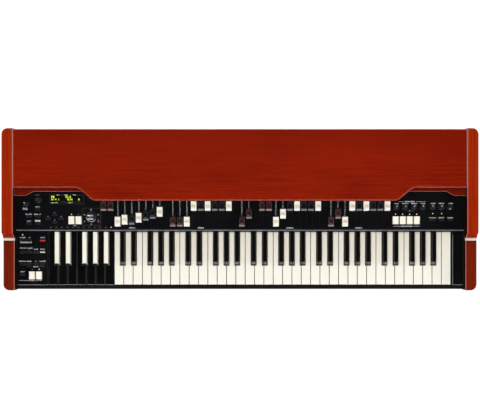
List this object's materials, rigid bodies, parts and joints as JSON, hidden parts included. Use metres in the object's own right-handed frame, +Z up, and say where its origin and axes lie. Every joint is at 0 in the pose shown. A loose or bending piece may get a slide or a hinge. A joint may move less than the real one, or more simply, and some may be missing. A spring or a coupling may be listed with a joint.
{
  "type": "tonewheel organ",
  "caption": "Portable drawbar organ with one waterfall manual, reverse-colour preset keys, drawbar sets and side controls on a sloping panel, in a wooden case.",
  "frame": {"origin": "on the table under the middle of the case's box", "axes": "+X to the player's right, +Y to the back of the case, +Z up"},
  "size_m": [1.179, 0.4028, 0.128],
  "materials": {
    "red_wood": "deep red lacquer over straight grain",
    "orange_wood": "orange-red lacquer over straight grain",
    "ivory_plastic": "polished ivory",
    "black_plastic": "polished black",
    "black_metal": "fine satin black paint",
    "matt_black": "satin moulding",
    "brown_plastic": "polished brown and white drawbar knobs",
    "cream_plastic": "polished cream",
    "silver_bar": "brushed",
    "zinc_steel": "zinc plated",
    "felt": "wool felt",
    "rubber": "moulded",
    "board": "green solder mask",
    "base": "black painted fibreboard",
    "lamp": "clear lens",
    "display": "smoked window"
  },
  "bodies": {
    "case": {"base_board": "base", "left_end_block": "orange_wood", "right_end_block": "orange_wood", "left_cheek": "red_wood", "right_cheek": "red_wood", "cheek_trims": "silver_bar", "top_lid": "red_wood", "lid_fascias": "orange_wood", "rear_board": "red_wood", "jack_plate": "black_metal", "rear_sockets": "matt_black", "control_panel": "black_metal", "key_blocks": "black_metal", "front_rail": "black_metal", "display_unit": "display", "drawbar_housings": "matt_black", "key_frame": "zinc_steel", "key_pivot_rod": "zinc_steel", "key_felt": "felt", "circuit_boards": "board", "rubber_feet": "rubber", "case_screws": "zinc_steel", "indicator_lamps": "lamp"},
    "c_keys": {"c_keys": "ivory_plastic"},
    "d_keys": {"d_keys": "ivory_plastic"},
    "e_keys": {"e_keys": "ivory_plastic"},
    "f_keys": {"f_keys": "ivory_plastic"},
    "g_keys": {"g_keys": "ivory_plastic"},
    "a_keys": {"a_keys": "ivory_plastic"},
    "b_keys": {"b_keys": "ivory_plastic"},
    "c_sharp_keys": {"c_sharp_keys": "black_plastic"},
    "d_sharp_keys": {"d_sharp_keys": "black_plastic"},
    "f_sharp_keys": {"f_sharp_keys": "black_plastic"},
    "g_sharp_keys": {"g_sharp_keys": "black_plastic"},
    "a_sharp_keys": {"a_sharp_keys": "black_plastic"},
    "preset_naturals": {"preset_naturals": "black_plastic"},
    "preset_sharps": {"preset_sharps": "ivory_plastic"},
    "drawbars_at_0": {"drawbars_at_0": "brown_plastic"},
    "drawbars_at_3": {"drawbars_at_3": "brown_plastic"},
    "drawbars_at_4": {"drawbars_at_4": "brown_plastic"},
    "drawbars_at_5": {"drawbars_at_5": "brown_plastic"},
    "drawbars_at_6": {"drawbars_at_6": "brown_plastic"},
    "drawbars_at_7": {"drawbars_at_7": "brown_plastic"},
    "drawbars_at_8": {"drawbars_at_8": "brown_plastic"},
    "volume_knob": {"volume_knob": "matt_black"},
    "value_knob": {"value_knob": "matt_black"},
    "vibrato_knob": {"vibrato_knob": "matt_black"},
    "bass_knob": {"bass_knob": "matt_black"},
    "middle_knob": {"middle_knob": "matt_black"},
    "treble_knob": {"treble_knob": "matt_black"},
    "tone_knob": {"tone_knob": "matt_black"},
    "drive_knob": {"drive_knob": "matt_black"},
    "effect_knob": {"effect_knob": "matt_black"},
    "reverb_knob": {"reverb_knob": "matt_black"},
    "vibrato_tabs": {"vibrato_tabs": "cream_plastic"},
    "percussion_tabs": {"percussion_tabs": "cream_plastic"},
    "rotary_tabs": {"rotary_tabs": "cream_plastic"},
    "panel_buttons": {"panel_buttons": "matt_black"},
    "block_buttons": {"block_buttons": "matt_black"},
    "power_switch": {"power_switch": "matt_black"}
  },
  "joints": [
    {"name": "c_keys_press", "type": "hinge", "parent": "case", "child": "c_keys", "pos_m": [0, 0.01475, 0.07], "axis": [1, 0, 0], "range_deg": [0, 2.8], "stiffness_Nm_per_rad": 7.2, "springref_deg": -10.03},
    {"name": "d_keys_press", "type": "hinge", "parent": "case", "child": "d_keys", "pos_m": [0, 0.01475, 0.07], "axis": [1, 0, 0], "range_deg": [0, 2.8], "stiffness_Nm_per_rad": 6, "springref_deg": -10.03},
    {"name": "e_keys_press", "type": "hinge", "parent": "case", "child": "e_keys", "pos_m": [0, 0.01475, 0.07], "axis": [1, 0, 0], "range_deg": [0, 2.8], "stiffness_Nm_per_rad": 6, "springref_deg": -10.03},
    {"name": "f_keys_press", "type": "hinge", "parent": "case", "child": "f_keys", "pos_m": [0, 0.01475, 0.07], "axis": [1, 0, 0], "range_deg": [0, 2.8], "stiffness_Nm_per_rad": 6, "springref_deg": -10.03},
    {"name": "g_keys_press", "type": "hinge", "parent": "case", "child": "g_keys", "pos_m": [0, 0.01475, 0.07], "axis": [1, 0, 0], "range_deg": [0, 2.8], "stiffness_Nm_per_rad": 6, "springref_deg": -10.03},
    {"name": "a_keys_press", "type": "hinge", "parent": "case", "child": "a_keys", "pos_m": [0, 0.01475, 0.07], "axis": [1, 0, 0], "range_deg": [0, 2.8], "stiffness_Nm_per_rad": 6, "springref_deg": -10.03},
    {"name": "b_keys_press", "type": "hinge", "parent": "case", "child": "b_keys", "pos_m": [0, 0.01475, 0.07], "axis": [1, 0, 0], "range_deg": [0, 2.8], "stiffness_Nm_per_rad": 6, "springref_deg": -10.03},
    {"name": "c_sharp_keys_press", "type": "hinge", "parent": "case", "child": "c_sharp_keys", "pos_m": [0, 0.01475, 0.07], "axis": [1, 0, 0], "range_deg": [0, 2.8], "stiffness_Nm_per_rad": 6, "springref_deg": -10.03},
    {"name": "d_sharp_keys_press", "type": "hinge", "parent": "case", "child": "d_sharp_keys", "pos_m": [0, 0.01475, 0.07], "axis": [1, 0, 0], "range_deg": [0, 2.8], "stiffness_Nm_per_rad": 6, "springref_deg": -10.03},
    {"name": "f_sharp_keys_press", "type": "hinge", "parent": "case", "child": "f_sharp_keys", "pos_m": [0, 0.01475, 0.07], "axis": [1, 0, 0], "range_deg": [0, 2.8], "stiffness_Nm_per_rad": 6, "springref_deg": -10.03},
    {"name": "g_sharp_keys_press", "type": "hinge", "parent": "case", "child": "g_sharp_keys", "pos_m": [0, 0.01475, 0.07], "axis": [1, 0, 0], "range_deg": [0, 2.8], "stiffness_Nm_per_rad": 6, "springref_deg": -10.03},
    {"name": "a_sharp_keys_press", "type": "hinge", "parent": "case", "child": "a_sharp_keys", "pos_m": [0, 0.01475, 0.07], "axis": [1, 0, 0], "range_deg": [0, 2.8], "stiffness_Nm_per_rad": 6, "springref_deg": -10.03},
    {"name": "preset_naturals_press", "type": "hinge", "parent": "case", "child": "preset_naturals", "pos_m": [0, 0.01475, 0.07], "axis": [1, 0, 0], "range_deg": [0, 2.8], "stiffness_Nm_per_rad": 8.4, "springref_deg": -10.03},
    {"name": "preset_sharps_press", "type": "hinge", "parent": "case", "child": "preset_sharps", "pos_m": [0, 0.01475, 0.07], "axis": [1, 0, 0], "range_deg": [0, 2.8], "stiffness_Nm_per_rad": 6, "springref_deg": -10.03},
    {"name": "drawbars_at_0_pull", "type": "slide", "parent": "case", "child": "drawbars_at_0", "axis": [0, -0.9962, -0.0872], "range_m": [0, 0.03936]},
    {"name": "drawbars_at_3_pull", "type": "slide", "parent": "case", "child": "drawbars_at_3", "axis": [0, -0.9962, -0.0872], "range_m": [-0.01476, 0.0246]},
    {"name": "drawbars_at_4_pull", "type": "slide", "parent": "case", "child": "drawbars_at_4", "axis": [0, -0.9962, -0.0872], "range_m": [-0.01968, 0.01968]},
    {"name": "drawbars_at_5_pull", "type": "slide", "parent": "case", "child": "drawbars_at_5", "axis": [0, -0.9962, -0.0872], "range_m": [-0.0246, 0.01476]},
    {"name": "drawbars_at_6_pull", "type": "slide", "parent": "case", "child": "drawbars_at_6", "axis": [0, -0.9962, -0.0872], "range_m": [-0.02952, 0.00984]},
    {"name": "drawbars_at_7_pull", "type": "slide", "parent": "case", "child": "drawbars_at_7", "axis": [0, -0.9962, -0.0872], "range_m": [-0.03444, 0.00492]},
    {"name": "drawbars_at_8_pull", "type": "slide", "parent": "case", "child": "drawbars_at_8", "axis": [0, -0.9962, -0.0872], "range_m": [-0.03936, 0]},
    {"name": "volume_knob_turn", "type": "hinge", "parent": "case", "child": "volume_knob", "pos_m": [-0.5331, 0.01469, 0.10286], "axis": [0, -0.0872, 0.9962], "range_deg": [-150, 150]},
    {"name": "value_knob_turn", "type": "hinge", "parent": "case", "child": "value_knob", "pos_m": [-0.5024, 0.02446, 0.10371], "axis": [0, -0.0872, 0.9962], "continuous": true},
    {"name": "vibrato_knob_turn", "type": "hinge", "parent": "case", "child": "vibrato_knob", "pos_m": [-0.3718, -0.01808, 0.09999], "axis": [0, -0.0872, 0.9962], "range_deg": [-120, 180]},
    {"name": "bass_knob_turn", "type": "hinge", "parent": "case", "child": "bass_knob", "pos_m": [0.3892, 0.00623, 0.10212], "axis": [0, -0.0872, 0.9962], "range_deg": [-150, 150]},
    {"name": "middle_knob_turn", "type": "hinge", "parent": "case", "child": "middle_knob", "pos_m": [0.4112, 0.00623, 0.10212], "axis": [0, -0.0872, 0.9962], "range_deg": [-150, 150]},
    {"name": "treble_knob_turn", "type": "hinge", "parent": "case", "child": "treble_knob", "pos_m": [0.4332, 0.00623, 0.10212], "axis": [0, -0.0872, 0.9962], "range_deg": [-150, 150]},
    {"name": "tone_knob_turn", "type": "hinge", "parent": "case", "child": "tone_knob", "pos_m": [0.4552, 0.00623, 0.10212], "axis": [0, -0.0872, 0.9962], "range_deg": [-150, 150]},
    {"name": "drive_knob_turn", "type": "hinge", "parent": "case", "child": "drive_knob", "pos_m": [0.4793, 0.00623, 0.10212], "axis": [0, -0.0872, 0.9962], "range_deg": [-150, 150]},
    {"name": "effect_knob_turn", "type": "hinge", "parent": "case", "child": "effect_knob", "pos_m": [0.5012, 0.00623, 0.10212], "axis": [0, -0.0872, 0.9962], "range_deg": [-150, 150]},
    {"name": "reverb_knob_turn", "type": "hinge", "parent": "case", "child": "reverb_knob", "pos_m": [0.5229, 0.00623, 0.10212], "axis": [0, -0.0872, 0.9962], "range_deg": [-150, 150]},
    {"name": "vibrato_tabs_tip", "type": "hinge", "parent": "case", "child": "vibrato_tabs", "pos_m": [0, -0.01722, 0.09705], "axis": [1, 0, 0], "range_deg": [0, 7], "stiffness_Nm_per_rad": 0.2, "springref_deg": -17.19},
    {"name": "percussion_tabs_tip", "type": "hinge", "parent": "case", "child": "percussion_tabs", "pos_m": [0, -0.01722, 0.09705], "axis": [1, 0, 0], "range_deg": [0, 7], "stiffness_Nm_per_rad": 0.4, "springref_deg": -17.19},
    {"name": "rotary_tabs_tip", "type": "hinge", "parent": "case", "child": "rotary_tabs", "pos_m": [0, -0.15635, 0.083], "axis": [1, 0, 0], "range_deg": [0, 7], "stiffness_Nm_per_rad": 0.2, "springref_deg": -17.19},
    {"name": "panel_buttons_press", "type": "slide", "parent": "case", "child": "panel_buttons", "axis": [0, 0.0872, -0.9962], "range_m": [0, 0.001], "stiffness_N_per_m": 6000, "springref_m": -0.001},
    {"name": "block_buttons_press", "type": "slide", "parent": "case", "child": "block_buttons", "axis": [0, 0, -1], "range_m": [0, 0.001], "stiffness_N_per_m": 6000, "springref_m": -0.001},
    {"name": "power_switch_rock", "type": "hinge", "parent": "case", "child": "power_switch", "pos_m": [0, 0.19385, 0.07], "axis": [1, 0, 0], "range_deg": [0, 14]}
  ]
}
